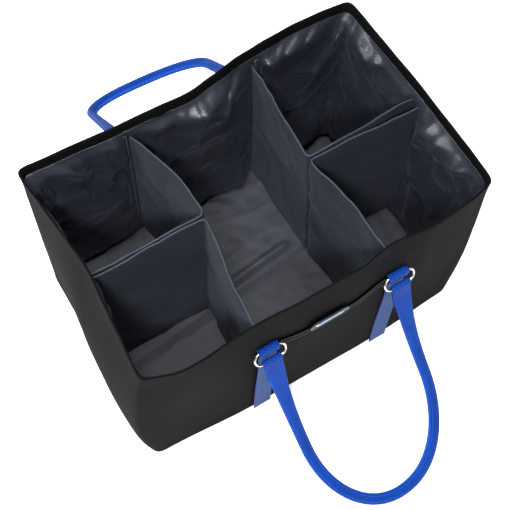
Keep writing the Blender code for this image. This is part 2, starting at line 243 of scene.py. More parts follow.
def grid_mesh(name, points, along, up, closed=False):
    """A mesh of quads over rows x columns points, its map "cloth" from along (columns) and up (rows)."""
    rows, columns = points.shape[:2]
    cells = columns if closed else columns - 1
    faces, corners = [], []
    for r in range(rows - 1):
        for c in range(cells):
            d = (c + 1) % columns
            face = [(r, c, c), (r, d, c + 1), (r + 1, d, c + 1), (r + 1, c, c)]
            faces.append([row * columns + column for row, column, _ in face])
            corners += [(along[place], up[row]) for row, _, place in face]
    return new_object(name, points, faces, corners)


def thicken(obj, thickness, offset=-1.0, even=True):
    solidify = obj.modifiers.new("thickness", "SOLIDIFY")
    solidify.thickness = thickness
    solidify.offset = offset
    solidify.use_even_offset = even
    return obj


def soften(obj):
    modifier = obj.modifiers.new("smooth", "SUBSURF")
    modifier.levels = modifier.render_levels = 1
    return obj


def sweep(name, centres, sides, normals, sections, closed=False):
    """A closed skin along centres: sections[i] is (across, lift) points along sides[i] and normals[i]."""
    rings = np.array([
        [c + s * a + n * b for a, b in section] for c, s, n, section in zip(centres, sides, normals, sections)
    ])
    count = rings.shape[1]
    along, around = lengths_round(centres), lengths_round(rings[0])
    faces, corners = [], []
    for i in range(len(rings) if closed else len(rings) - 1):
        j = (i + 1) % len(rings)
        for k in range(count):
            m = (k + 1) % count
            faces.append([i * count + k, i * count + m, j * count + m, j * count + k])
            corners += [(around[k], along[i]), (around[k + 1], along[i]), (around[k + 1], along[i + 1]),
                        (around[k], along[i + 1])]
    if not closed:
        last = (len(rings) - 1) * count
        faces += [list(range(count))[::-1], list(range(last, last + count))]
        corners += [(0, 0)] * (2 * count)
    return new_object(name, rings, faces, corners)


# Materials


def new_material(name, colour, roughness, metallic=0.0):
    material = bpy.data.materials.new(name)
    material.use_nodes = True
    shader = material.node_tree.nodes["Principled BSDF"]
    shader.inputs["Base Color"].default_value = (*colour, 1)
    shader.inputs["Roughness"].default_value = roughness
    shader.inputs["Metallic"].default_value = metallic
    return material, material.node_tree, shader


def math_node(tree, operation, first, second=None):
    node = tree.nodes.new("ShaderNodeMath")
    node.operation = operation
    for socket, value in zip(node.inputs, (first, second)):
        if isinstance(value, (int, float)):
            socket.default_value = value
        elif value is not None:
            tree.links.new(value, socket)
    return node.outputs[0]


def weighted(tree, *parts):
    """The sum of (value, weight) parts."""
    total = None
    for value, weight in parts:
        part = math_node(tree, "MULTIPLY", value, weight)
        total = part if total is None else math_node(tree, "ADD", total, part)
    return total


def noise_node(tree, scale, detail):
    place = tree.nodes.new("ShaderNodeTexCoord")
    node = tree.nodes.new("ShaderNodeTexNoise")
    node.inputs["Scale"].default_value = scale
    node.inputs["Detail"].default_value = detail
    tree.links.new(place.outputs["Object"], node.inputs["Vector"])
    return node.outputs["Fac"]


def cloth_place(tree):
    """The two coordinates of the map "cloth", in metres."""
    place = tree.nodes.new("ShaderNodeUVMap")
    place.uv_map = "cloth"
    split = tree.nodes.new("ShaderNodeSeparateXYZ")
    tree.links.new(place.outputs["UV"], split.inputs[0])
    return split.outputs[0], split.outputs[1]


def wave(tree, coordinate, pitch, shift=None):
    angle = math_node(tree, "MULTIPLY", coordinate, math.tau / pitch)
    if shift is not None:
        angle = math_node(tree, "ADD", angle, shift)
    return math_node(tree, "SINE", angle)


def mixed_colour(tree, shader, factor, dark, light, low=0.0, high=1.0):
    """Base colour between two colours by a factor between low and high."""
    blend = tree.nodes.new("ShaderNodeValToRGB")
    blend.color_ramp.elements[0].position = low
    blend.color_ramp.elements[1].position = high
    blend.color_ramp.elements[0].color = (*dark, 1)
    blend.color_ramp.elements[1].color = (*light, 1)
    tree.links.new(factor, blend.inputs[0])
    tree.links.new(blend.outputs[0], shader.inputs["Base Color"])


def ranged(tree, value, low, high):
    """A value from 0 to 1 stretched to lie between low and high."""
    node = tree.nodes.new("ShaderNodeMapRange")
    node.inputs["To Min"].default_value = low
    node.inputs["To Max"].default_value = high
    tree.links.new(value, node.inputs["Value"])
    return node.outputs[0]


def bump_from(tree, shader, height, strength, distance):
    node = tree.nodes.new("ShaderNodeBump")
    node.inputs["Strength"].default_value = strength
    node.inputs["Distance"].default_value = distance
    tree.links.new(height, node.inputs["Height"])
    tree.links.new(node.outputs[0], shader.inputs["Normal"])


def woven(name, dark, light, roughness, pitch, sheen, index, depth, gloss, twill=0.0):
    """Plain or twill cloth with threads at the given pitch, its colour and gloss a little uneven; its colour
    is also a little darker between the threads, which is painted shade.
    """
    material, tree, shader = new_material(name, dark, roughness)
    across, up = cloth_place(tree)
    warp = wave(tree, across, pitch)
    weft = wave(tree, math_node(tree, "ADD", up, math_node(tree, "MULTIPLY", across, twill)), pitch)
    if twill:
        threads = math_node(tree, "ADD", weft, math_node(tree, "MULTIPLY", warp, 0.3))
    else:
        threads = math_node(tree, "MULTIPLY", warp, weft)
    cloudy = noise_node(tree, 14.0, 4.0)
    fine = noise_node(tree, 900.0, 1.0)
    # random tone from the noises, plus a small share of the thread pattern: painted shade between the threads
    tone_and_groove_shade = weighted(tree, (threads, 0.10), (fine, 0.5), (cloudy, 0.5))
    mixed_colour(tree, shader, tone_and_groove_shade, dark, light, 0.2, 0.85)
    tree.links.new(ranged(tree, cloudy, roughness - 0.07, roughness + 0.07), shader.inputs["Roughness"])
    bump_from(tree, shader, weighted(tree, (threads, 1.0), (fine, 0.8)), 0.5, depth)
    shader.inputs["Specular IOR Level"].default_value = gloss
    shader.inputs["Sheen Weight"].default_value = sheen
    shader.inputs["Sheen Roughness"].default_value = 0.4
    shader.inputs["Sheen Tint"].default_value = (0.7, 0.8, 1.0, 1)
    shader.inputs["IOR"].default_value = index
    return material


def webbing(name, dark, light):
    """Heavy tape: short ribs across its length, stepped from cord to cord, and a little fuzz. Its colour is
    lighter on the crests of the ribs and cords and darker between them: painted highlight and painted shade.
    """
    material, tree, shader = new_material(name, dark, 0.55)
    across, along = cloth_place(tree)
    cords = math_node(tree, "FLOOR", math_node(tree, "DIVIDE", across, CORD))
    shift = math_node(tree, "MULTIPLY", cords, math.pi)
    ribs = wave(tree, along, RIB, shift)
    rounds = math_node(tree, "ABSOLUTE", wave(tree, across, 2 * CORD))
    height = math_node(tree, "ADD", math_node(tree, "MULTIPLY", ribs, 0.5), rounds)
    fuzz = noise_node(tree, 1200.0, 1.0)
    cloudy = noise_node(tree, 30.0, 3.0)
    # the rib and cord height in the colour is painted highlight on the crests and painted shade in the
    # grooves; fuzz and cloudy are the tape's own uneven tone
    tone_and_groove_shade = weighted(tree, (height, 0.42), (fuzz, 0.25), (cloudy, 0.45))
    mixed_colour(tree, shader, tone_and_groove_shade, dark, light, 0.25, 0.85)
    bump_from(tree, shader, weighted(tree, (height, 1.0), (fuzz, 0.5)), 0.8, 0.0006)
    shader.inputs["Specular IOR Level"].default_value = 0.5
    shader.inputs["Sheen Weight"].default_value = 0.02
    shader.inputs["Sheen Roughness"].default_value = 0.35
    shader.inputs["Sheen Tint"].default_value = (0.2, 0.45, 1.0, 1)
    shader.inputs["IOR"].default_value = 1.22
    return material


def metal(name, colour, roughness):
    material, tree, shader = new_material(name, colour, roughness, 1.0)
    marks = noise_node(tree, 260.0, 3.0)
    tree.links.new(ranged(tree, marks, roughness - 0.08, roughness + 0.12), shader.inputs["Roughness"])
    mixed_colour(tree, shader, marks, tuple(0.8 * c for c in colour), colour, 0.3, 0.6)
    return material


def moulded(name, dark, light, roughness):
    material, tree, shader = new_material(name, dark, roughness)
    grain = noise_node(tree, 500.0, 3.0)
    mixed_colour(tree, shader, grain, dark, light, 0.3, 0.7)
    bump_from(tree, shader, grain, 0.3, 0.0002)
    return material


SHELL = woven(
    "shell_cloth", (0.0016, 0.0016, 0.0019), (0.0070, 0.0070, 0.0076), 0.8, 0.0019, 0.0, 1.12, 0.0004, 0.5
)
LINING = woven(
    "lining_satin", (0.0075, 0.0090, 0.0130), (0.0240, 0.0280, 0.0390), 0.28, 0.0013, 0.04, 1.45, 0.0001, 0.7,
    twill=0.6
)
BOARDED = woven(
    "divider_satin", (0.0120, 0.0145, 0.0205), (0.0330, 0.0385, 0.0520), 0.48, 0.0016, 0.05, 1.38, 0.00015,
    0.5, twill=0.6
)
BLUE = webbing("blue_webbing", (0.0008, 0.010, 0.085), (0.0045, 0.070, 0.45))
DULL_BLUE = webbing("blue_strap_webbing", (0.003, 0.018, 0.095), (0.014, 0.070, 0.26))
THREAD = moulded("dark_thread", (0.045, 0.05, 0.06), (0.10, 0.11, 0.13), 0.6)
BLUE_THREAD = moulded("blue_thread", (0.012, 0.09, 0.48), (0.03, 0.16, 0.70), 0.5)
NICKEL = metal("nickel_wire", (0.70, 0.69, 0.67), 0.22)
BADGE = moulded("badge_rubber", (0.010, 0.011, 0.014), (0.022, 0.024, 0.030), 0.35)
STRIP = metal("badge_band", (0.45, 0.62, 0.85), 0.25)
BOARD = moulded("stiffener_board", (0.035, 0.035, 0.038), (0.06, 0.06, 0.065), 0.7)


def dress(obj, material, slot, *nodes, body="caddy"):
    """Gives a piece its material, sets it on its body and hides the CAD nodes that it stands for."""
    obj.data.materials.clear()
    obj.data.materials.append(material)
    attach(obj, body)
    if nodes:
        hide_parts(*nodes)
    return obj


# Cloth simulation

CLOTH_FRAMES = 14
MOST_SLIDE = 0.004
LINING_GIVE = (0.010, 0.0025)  # how far it may move against its normal and along it


def set_cloth(obj, pinned, grow, gravity, bending):
    """Cloth that is a little larger than the place it is sewn into, held at the pinned vertices."""
    group = obj.vertex_groups.new(name="sewn")
    group.add([int(i) for i in np.flatnonzero(pinned)], 1.0, "REPLACE")
    settings = obj.modifiers.new("cloth", "CLOTH").settings
    settings.quality = 5
    settings.mass = 0.25
    settings.air_damping = 4
    settings.tension_stiffness = settings.compression_stiffness = 25
    settings.shear_stiffness = 8
    settings.bending_stiffness = bending
    settings.shrink_min = -grow
    settings.vertex_group_mass = "sewn"
    settings.effector_weights.gravity = gravity


def run_cloth(limits, frames):
    """Steps every cloth together, then keeps each vertex's move, held to limits along its normal."""
    scene = bpy.context.scene
    scene.frame_start, scene.frame_end = 1, frames
    for step in range(1, frames + 1):
        scene.frame_set(step)
    graph = bpy.context.evaluated_depsgraph_get()
    for obj, (inwards, outwards) in limits.items():
        count = len(obj.data.vertices)
        rest, moved, normals = (np.empty(count * 3, np.float32) for _ in range(3))
        obj.data.vertices.foreach_get("co", rest)
        obj.data.vertices.foreach_get("normal", normals)
        evaluated = obj.evaluated_get(graph)
        evaluated.data.vertices.foreach_get("co", moved)
        rest, moved, normals = (a.reshape(-1, 3).astype(float) for a in (rest, moved, normals))
        shift = moved - rest
        lift = (shift * normals).sum(1)
        held = np.where(lift > 0, outwards * np.tanh(lift / outwards), -inwards * np.tanh(-lift / inwards))
        slide = shift - normals * lift[:, None]
        length = np.linalg.norm(slide, axis=1, keepdims=True) + 1e-9
        slide *= np.minimum(1, MOST_SLIDE / length)
        obj.modifiers.remove(obj.modifiers["cloth"])
        settled = rest + slide + normals * held[:, None]
        obj.data.vertices.foreach_set("co", settled.astype(np.float32).ravel())
        obj.data.update()
    scene.frame_set(1)


# Walls, lining and floor

# How strongly the lining folds on each wall
FOLDS = {"left": 0.35, "right": 0.8, "front": 0.4, "rear": 1.0}


def creases(points, scale, seed, sharp=4.0):
    """Crumpled cloth from 0 to 1: narrow crests that run together, with smooth hollows between."""
    warp = np.stack([bumps(points, 2.2 * scale, seed + k) for k in (1, 5, 9)], -1)
    return (1 - np.abs(bumps(points + 0.9 * scale * warp, scale, seed))) ** sharp


def make_shell():
    """The outer walls as one sewn ring of cloth, with rolled lower edges."""
    roll = np.array([0.0006, 0.0020, 0.0045])
    heights = np.concatenate([roll, np.linspace(0.009, HEIGHT - 0.0008, 48)])
    insets = np.concatenate([[0.0040, 0.0014, 0.0003], np.zeros(48)])
    points, along = loop_rows(heights, insets, 3)
    wrinkle = -0.0012 * creases(points * (1, 1, 0.45), 0.075, 3.0, 2.0)
    wrinkle -= 0.0004 * creases(points, 0.025, 9.0, 2.0)
    fade = (ramp(0.0, 0.03, points[..., 2]) * ramp(HEIGHT, HEIGHT - 0.03, points[..., 2]))
    points[..., :2] += outward_of(points) * (wrinkle * fade)[..., None]
    return grid_mesh("shell_walls", points, along, heights, closed=True)


def tension_folds(along, heights, places):
    """Folds from 0 to 1 that fan out from where cloth is pulled: (distance along, height, folds, turn)."""
    span = along[-1]
    total = np.zeros((len(heights), len(along) - 1))
    for place, height, count, turn in places:
        across = (along[:-1] - place + span / 2) % span - span / 2
        across, down = np.meshgrid(across, heights - height)
        reach = np.hypot(across, down)
        spot = np.stack([across, down, np.full(across.shape, 10 * place)], -1)
        angle = np.arctan2(down, across) + 0.55 * bumps(spot, 0.06, 3.0)
        crest = (1 - np.abs(np.sin(count * angle + turn))) ** 2.6
        total = np.maximum(total, crest * ramp(0.004, 0.035, reach) * np.exp(-(reach / 0.085) ** 2))
    return total


def make_lining():
    """The lining as one ring of satin, a little too large for the walls it hangs in."""
    heights = np.linspace(FLOOR_Z, HEIGHT - HEM + 0.003, 60)
    points, along = loop_rows(heights, LINING_INSET, 4, LINING_CELL)
    x, y, z = (points[..., k] for k in range(3))
    top = heights[-1]
    width, depth = along[-1] * 0.302, along[-1] * 0.198
    corners = [(place, top, count, turn) for place, count, turn in (
        (0, 2.2, 0.4), (width, 2.8, 0.9), (width + depth, 2.6, 0.3), (2 * width + depth, 3.1, 1.3))]
    sewn = [(place, DIVIDER_TOP, 2.4, 0.2 + place) for place in (
        0.305 * width, 0.695 * width, width + 0.49 * depth, 1.305 * width + depth, 1.695 * width + depth,
        2 * width + 1.51 * depth)]
    pulled = tension_folds(along, heights, corners + sewn)
    loose = 0.4 + 0.6 * ramp(-0.3, 0.3, bumps(points, 0.09, 2.0) + 0.25 * ramp(0.4, 0.9, z / top))
    slant = points * (1, 1, 0.5)
    wide = points + np.stack([0.7 * z, 0.7 * z, np.zeros_like(z)], -1)
    deep = 0.0130 * creases(slant, 0.060, 5.0, 3.2) + 0.0048 * creases(slant, 0.024, 11.0, 3.2)
    deep += 0.0100 * creases(wide, 0.110, 14.0, 2.2)
    pucker = 0.0020 * creases(points * (1, 1, 0.25), 0.014, 21.0, 3.0) * ramp(0.045, 0.010, top - z)
    free = ramp(0.0, 0.03, z - heights[0]) * ramp(top, top - 0.012, z)
    at_divider = np.exp(-((np.abs(x) - 0.093) / 0.014) ** 2) * (np.abs(y) > 0.1)
    at_cross = np.exp(-((y - MIDDLE_Y) / 0.012) ** 2) * (np.abs(x) > 0.18)
    end_folds = np.where(x < 0, FOLDS["left"], FOLDS["right"])
    free = free * np.where(np.abs(y) < 0.12, end_folds, np.where(y < 0, FOLDS["front"], FOLDS["rear"]))
    free = free * (1 - np.maximum(at_divider, at_cross) * ramp(DIVIDER_TOP + 0.012, DIVIDER_TOP, z))
    points[..., :2] -= outward_of(points) * ((deep * loose + 0.0190 * pulled + pucker) * free)[..., None]
    obj = grid_mesh("lining_walls", points, along, heights, closed=True)
    sewn_to_divider = (np.abs(np.abs(x) - DIVIDER_X) < 0.004) & (np.abs(y) > 0.12) & (z < DIVIDER_TOP)
    sewn_to_cross = (np.abs(y - MIDDLE_Y) < 0.005) & (np.abs(x) > 0.18) & (z < DIVIDER_TOP)
    corner = (np.abs(x) > HALF_WIDTH - 0.010) & ((y > BASE_Y - 0.018) | (y < -BASE_Y + 0.010))
    ends = np.zeros(x.shape, bool)
    ends[0] = ends[-1] = True
    return obj, (ends | sewn_to_divider | sewn_to_cross | corner).ravel()


def make_hem():
    """The rim: cloth folded over the walls' top edge and down inside them."""
    profile = [(-0.0004, -0.0040), (-0.0005, -0.0014), (0.0001, 0.0), (0.0009, 0.0004), (0.0018, 0.0001),
               (0.0025, -0.0010), (0.0031, -0.0040), (0.0036, -0.0100), (0.0037, -0.0150), (0.0034, -HEM),
               (0.0028, -HEM - 0.0004), (0.0024, -HEM + 0.0006)]
    heights = [HEIGHT - 0.0006 + z for _, z in profile]
    points, along = loop_rows(heights, [inset for inset, _ in profile], 3)
    wavy = 0.0007 * bumps(points * (1, 1, 0.2), 0.022, 17.0)
    points[..., 2] += 0.0013 * bumps(points * (1, 1, 0), 0.045, 23.0)
    points[..., :2] += outward_of(points) * wavy[..., None]
    obj = grid_mesh("rim_hem", points, along, lengths_along(profile), closed=True)
    return soften(thicken(obj, 0.0007, even=False))


def make_base():
    """The cloth of the underside, flat on whatever the bag stands on."""
    outline, _ = loop_rows([0.0004], 0.0030, 3)
    shares = np.linspace(1, 0.02, 14)
    points = np.array([outline[0] * (s, s, 1) for s in shares])
    round_length = 1.49
    along = np.linspace(0, round_length, points.shape[1] + 1)
    obj = grid_mesh("base_cloth", points, along, 0.2 * shares, closed=True)
    return thicken(obj, 0.0012, 1.0)


def seam_y(x):
    """Where the floor cloth is sewn down across the bag, a little askew."""
    return MIDDLE_Y + 0.0055 + 0.11 * (x - 0.02)


def make_floor():
    """The padded cloth over the floor boards, with a sewn valley across the middle."""
    across, deep = 120, 90
    inset = LINING_INSET + 0.0005
    x = np.linspace(-1, 1, across) * (HALF_WIDTH - inset)
    y = np.linspace(-BASE_Y + inset, BASE_Y - inset, deep)
    points = np.zeros((deep, across, 3))
    points[..., 0], points[..., 1] = np.meshgrid(x, y)
    behind = points[..., 1] - seam_y(points[..., 0])
    swell = 0.0026 * (1 - np.exp(-np.abs(behind) / 0.010)) - 0.0010
    inside = ramp(0.078, 0.055, np.abs(points[..., 0]))
    hump = 0.0045 * np.exp(-((behind - 0.012) / 0.006) ** 2) * inside * (0.7 + 0.6 * bumps(points, 0.03, 3.0))
    slant = points + np.stack([0.6 * points[..., 1], np.zeros_like(hump), np.zeros_like(hump)], -1)
    folds = 0.0012 * creases(slant * (0.45, 1, 1), 0.035, 33.0, 3.0)
    clear = ramp(0.005, 0.020, np.abs(behind))
    points[..., 2] = FLOOR_Z + swell + hump + clear * (folds + 0.0008 * bumps(points, 0.016, 37.0))
    obj = grid_mesh("floor_cover_cloth", points, x, y)
    threads = []
    for place in np.arange(-0.072, 0.082, 0.0032):
        middle = seam_y(place) - 0.0028
        start, finish = (place, middle - 0.0030, FLOOR_Z + 0.0006), (place + 0.0008, middle + 0.0030, FLOOR_Z)
        threads.append([start, finish])
    seam = stitches(
        "floor_seam_stitches", threads, lambda p: (0, 0, 1), 0.0050, 0.0008, 0.0006, THREAD, "lining"
    )
    return obj


# Dividers

# Where each divider stands in plan: its end at the long wall, a point on the way and the fold, at the top and
# below, then its end at the end wall and the side of the bag that it is on
DIVIDERS = {
    "left_front": {
        "top": [(-DIVIDER_X, None), (-0.077, -0.075), (-0.064, MIDDLE_Y)], "low_x": (-0.086, -0.078, -0.070),
        "end_y": MIDDLE_Y - 0.0024, "side": (-1, -1),
    },
    "left_rear": {
        "top": [(-DIVIDER_X, None), (-0.067, 0.062), (-0.064, MIDDLE_Y)], "low_x": (-0.087, -0.073, -0.070),
        "end_y": MIDDLE_Y + 0.0024, "side": (-1, 1),
    },
    "right_front": {
        "top": [(DIVIDER_X, None), (0.090, -0.075), (0.075, MIDDLE_Y)], "low_x": (0.090, 0.093, 0.087),
        "end_y": MIDDLE_Y - 0.0090, "side": (1, -1),
    },
    "right_rear": {
        "top": [(DIVIDER_X, None), (0.082, 0.065), (0.075, MIDDLE_Y)], "low_x": (0.088, 0.087, 0.087),
        "end_y": MIDDLE_Y + 0.0050, "side": (1, 1),
    },
}
SLEEVE = 0.0026


def divider_row(plan, z):
    """The line of one divider in plan at height z, from the long wall round the fold to the end wall."""
    side_x, side_y = plan["side"]
    up = (z - FLOOR_Z) / (DIVIDER_TOP - FLOOR_Z)
    knots = [(x * up + low * (1 - up), y) for (x, y), low in zip(plan["top"], plan["low_x"])]
    wall_y = long_wall_y("front" if side_y < 0 else "rear", knots[0][0], z, LINING_INSET - 0.001)
    apart = side_y * (SLEEVE / 2 + 0.0004)
    fold = (knots[2][0], MIDDLE_Y + apart)
    end_x = float(end_wall_x(side_x, MIDDLE_Y, z, LINING_INSET - 0.001))
    end = (end_x, plan["end_y"] * up + fold[1] * (1 - up))
    first = resampled([(knots[0][0], float(wall_y)), knots[1], fold], 0.005)
    second = resampled([fold, end], 0.005)
    return first, second


def make_divider(name, plan):
    """A divider's cloth sleeve, from the long wall round the fold to the end wall."""
    heights = np.linspace(FLOOR_Z + 0.0004, DIVIDER_TOP, 46)
    first_count, second_count = (len(part) for part in divider_row(plan, DIVIDER_TOP))
    rows = []
    for z in heights:
        first, second = divider_row(plan, z)
        first = resampled(eased(first, 30), lengths_along(first)[-1] / (first_count - 1))
        second = resampled(second, lengths_along(second)[-1] / (second_count - 1))
        line = eased(np.concatenate([first[:first_count], second[1:second_count]]), 2)
        rows.append(np.column_stack([line, np.full(len(line), z)]))
    points = np.array(rows)
    run = np.gradient(points[..., :2], axis=1)
    side = unit(np.stack([-run[..., 1], run[..., 0]], -1))
    columns = np.arange(points.shape[1]) / (points.shape[1] - 1)
    loose = ramp(0, 0.06, columns) * ramp(1, 0.94, columns)
    seed = 40.0 + 7 * list(DIVIDERS).index(name)
    slant = points + np.stack([points[..., 2], np.zeros_like(points[..., 2]), -0.5 * points[..., 2]], -1)
    wrinkle = 0.0016 * bumps(points, 0.07, seed)
    wrinkle += 0.0026 * (creases(slant * (0.6, 1, 0.6), 0.040, seed + 3, 2.5) - 0.3)
    points[..., :2] += side * (wrinkle * loose)[..., None]
    rise = ramp(0.93, 1.0, (points[..., 2] - FLOOR_Z) / (DIVIDER_TOP - FLOOR_Z))
    points[..., 2] += rise * (0.0018 * bumps(points * (1, 1, 0), 0.05, seed + 5) - 0.001)
    along = lengths_along(points[-1])
    obj = grid_mesh(f"{name}_divider_sleeve", points, along, heights)
    thicken(obj, SLEEVE, 0.0)
    edges = obj.modifiers.new("sewn_edges", "BEVEL")
    edges.width = 0.0009
    edges.segments = 2
    edges.limit_method = "ANGLE"
    edges.angle_limit = math.radians(50)
    return obj


def make_seam_strip(plan, name):
    """The turned edge of a divider's cloth, sewn down on the lining beside it with two rows of stitches."""
    side_x, side_y = plan["side"]
    middle = plan["top"][0][0] + side_x * 0.0085
    heights = np.linspace(FLOOR_Z + 0.004, DIVIDER_TOP + 0.004, 50)
    wall = "front" if side_y < 0 else "rear"

    def line(x, lift):
        return [(x, float(long_wall_y(wall, x, z, LINING_INSET + lift)), z) for z in heights]

    strip = tape(f"{name}_seam_strip", line(middle, 0.0016), (1, 0, 0), 0.0120, 0.0010)
    dress(strip, LINING, "lining")
    rows = [line(middle + by, 0.0022) for by in (-0.0038, 0.0038)]
    row = stitches(
        f"{name}_seam_stitches", rows, lambda p: (0, -side_y, 0), 0.0034, 0.0012, 0.0005, THREAD, "lining"
    )
    return [strip, row]


# Straps, rings and handles


def flat_section(half_width, half_thick):
    """The outline of flat tape with soft edges."""
    w, t = half_width, half_thick
    edge = min(t, w) * 0.6
    spots = np.linspace(-1, 1, 7)[1:-1]
    inner = [(w * 0.9 * spot, t) for spot in spots]
    top = [(-w, t * 0.35), (-w + edge, t), *inner, (w - edge, t), (w, t * 0.35)]
    return top + [(a, -b) for a, b in reversed(top)]


def tape(name, line, across, width, thickness):
    """A strip of webbing along a line of points, with its width along the given direction."""
    line = np.asarray(line, float)
    side = np.asarray(across, float)
    normals = unit(np.cross(unit(np.gradient(line, axis=0)), side))
    section = flat_section(width / 2, thickness / 2)
    return sweep(name, line, [side] * len(line), normals, [section] * len(line))


WIRE = 0.0015
RING_HALF_BAR = 0.0113
LOOP_RADIUS = WIRE + WEBBING_THICK / 2 + 0.0002


def make_strap(end, hand):
    """A strap from the base up the wall, round the ring's upper bar and back down behind itself."""
    x, out = STRAP_X[hand], OUT[end]
    (bar_y, bar_z), _ = hinge_lines(end)
    heights = np.linspace(0.003, bar_z - 0.020, 40)
    lift = WEBBING_THICK / 2 + 0.0016 + 0.0010 * ramp(0.5, 1, heights / bar_z)
    rising = [(float(long_wall_y(end, x, z)) + out * by, z) for z, by in zip(heights, lift)]
    loop = [(bar_y + out * LOOP_RADIUS * math.cos(a), bar_z + LOOP_RADIUS * math.sin(a))
            for a in np.linspace(-0.3, math.pi + 0.3, 14)]
    inner = [(loop[-1][0] - out * 0.0004, bar_z - 0.008)]
    line = resampled(rising + loop + inner, 0.0025)
    line = eased(line, 2)
    lean = 0.006 * ramp(bar_z, 0, line[:, 1]) if end == "front" else np.zeros(len(line))
    points = np.column_stack([x - lean, line])
    obj = tape(f"{end}_{hand}_strap_webbing", points, (1, 0, 0), WEBBING, WEBBING_THICK)
    dress(obj, DULL_BLUE, "webbing", f"{end}_{hand}_strap")
    far, turns = LOOP_RADIUS + 0.0020, np.linspace(-1.1, 2.7, 26)
    line = [(x, bar_y + out * far * math.cos(a), bar_z + far * math.sin(a)) for a in turns]
    sewn = [(x, line[0][1] + out * 0.0006, bar_z - 0.0064 - 0.0018 * k) for k in range(2, 0, -1)]
    line = resampled(sewn + line, 0.0014)
    dress(tape(f"{end}_{hand}_strap_roll", line, (1, 0, 0), WEBBING + 0.0016, 0.0024), BLUE, "webbing")


def make_ring(end, hand):
    """An oval ring of round wire."""
    x = STRAP_X[hand]
    upper, lower = (np.array(place) for place in hinge_lines(end))
    drop = np.linalg.norm(lower - upper)
    swing = (lower - upper) / drop
    end_radius = drop / 2
    arc = np.linspace(-math.pi / 2, math.pi / 2, 15)
    right = [(RING_HALF_BAR + end_radius * math.cos(a), end_radius * math.sin(a)) for a in arc]
    plan = right + [(-a, -b) for a, b in right]
    middle = (upper + lower) / 2
    centres = np.array([(x + a, *(middle + swing * b)) for a, b in plan])
    run = unit(np.roll(centres, -1, 0) - np.roll(centres, 1, 0))
    flat = np.cross((1, 0, 0), (0, *swing))
    sides = np.cross(run, flat)
    section = [(WIRE * math.cos(a), WIRE * math.sin(a)) for a in np.linspace(0, math.tau, 13)[:-1]]
    count = len(centres)
    obj = sweep(f"{end}_{hand}_wire_ring", centres, sides, [flat] * count, [section] * count, closed=True)
    dress(obj, NICKEL, "nickel", f"{end}_{hand}_ring", body=f"{end}_{hand}_ring")


# Each handle, as the CAD has it: its angles to the horizontal at the rings and at its far end, the length of
# its straight legs, the depth, squareness and lopsidedness of its bend
SHAPES = {
    "front": {"near": -70.4, "far": -20.0, "leg": 0.145, "bend": 0.118, "square": 0.95, "skew": -0.35},
    "rear": {"near": -39.9, "far": -39.4, "leg": 0.184, "bend": 0.054, "square": 0.82, "skew": -0.59},
}
GRIP_WIDTH, GRIP_THICK = 0.0146, 0.0072
FLAT_END, TAPER = 0.012, 0.140
TWIST = {"front": 0.0, "rear": math.radians(-35)}


def handle_route(end, spread):
    shape = SHAPES[end]
    points = [(-spread, shape["leg"] * i / 20) for i in range(20)]
    for turn in np.linspace(0, math.pi, 90):
        across = -math.copysign(abs(math.cos(turn)) ** shape["square"], math.cos(turn)) * spread
        points.append((across, shape["leg"] + shape["bend"] * math.sin(turn) ** shape["square"]))
    points += [(spread, shape["leg"] * i / 20) for i in reversed(range(20))]
    return np.array([(across, out * (1 + shape["skew"] * across)) for across, out in points])


def droop(end, out):
    """Where the handle's middle lies a given distance out from the rings, and its direction there."""
    shape, side = SHAPES[end], OUT[end]
    near, far = math.radians(shape["near"]), math.radians(shape["far"])
    turn = (far - near) / (shape["leg"] + shape["bend"])
    angle = near + turn * out
    place = np.array((0, side * (math.sin(angle) - math.sin(near)), math.cos(near) - math.cos(angle))) / turn
    return place, np.array((0, side * math.cos(angle), math.sin(angle)))


def grip_section(share):
    """Doubled flat tape at share 0, tape folded round into a grip with a sewn edge at share 1."""
    half_width = (WEBBING * (1 - share) + GRIP_WIDTH * share) / 2
    half_thick = (2 * WEBBING_THICK * (1 - share) + GRIP_THICK * share) / 2
    section = []
    for a in np.linspace(0, math.tau, 29)[:-1]:
        power = 0.35 + 0.40 * share
        across = math.copysign(abs(math.cos(a)) ** power, math.cos(a)) * half_width
        lift = math.copysign(abs(math.sin(a)) ** power, math.sin(a)) * half_thick
        groove = share * 0.0014 * math.exp(-((a - math.pi * 0.34) / 0.17) ** 2)
        ridge = share * 0.0009 * math.exp(-((a - math.pi * 0.19) / 0.15) ** 2)
        section.append((across, lift - groove + ridge))
    return section


